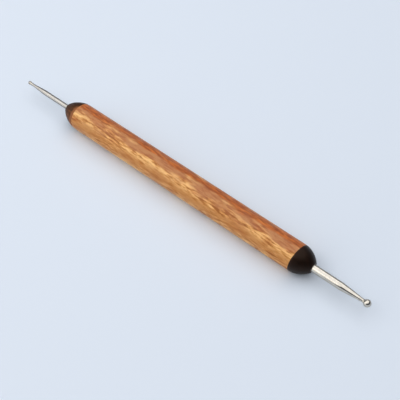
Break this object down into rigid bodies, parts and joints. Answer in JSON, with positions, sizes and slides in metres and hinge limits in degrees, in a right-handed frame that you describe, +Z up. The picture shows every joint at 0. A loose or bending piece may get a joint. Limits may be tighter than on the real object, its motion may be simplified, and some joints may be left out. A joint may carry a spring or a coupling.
{
  "type": "embossing stylus",
  "caption": "Wooden-handled ball stylus with a large and a small steel ball tip on tapered shanks, for embossing paper and foil or dotting paint.",
  "frame": {"origin": "on the handle's axis, midway between its two wooden tip faces", "axes": "+X along the tool's axis towards the large ball, +Z up, with the tool lying on its side"},
  "size_m": [0.1345, 0.0091, 0.0092],
  "materials": {
    "varnished_wood": "satin varnish over light brown hardwood",
    "dark_lacquer": "thin satin black-brown dip lacquer",
    "polished_steel": "polished, with fine turning marks",
    "braze": "smooth drawn braze, slightly duller than the steel",
    "glue": "clear amber epoxy"
  },
  "bodies": {
    "root": {"wooden_handle": "varnished_wood", "large_end_dip_coat": "dark_lacquer", "small_end_dip_coat": "dark_lacquer", "large_shank": "polished_steel", "small_shank": "polished_steel", "large_ball": "polished_steel", "small_ball": "polished_steel", "large_ball_braze": "braze", "small_ball_braze": "braze", "large_glue_sleeve": "glue", "small_glue_sleeve": "glue"}
  },
  "joints": []
}
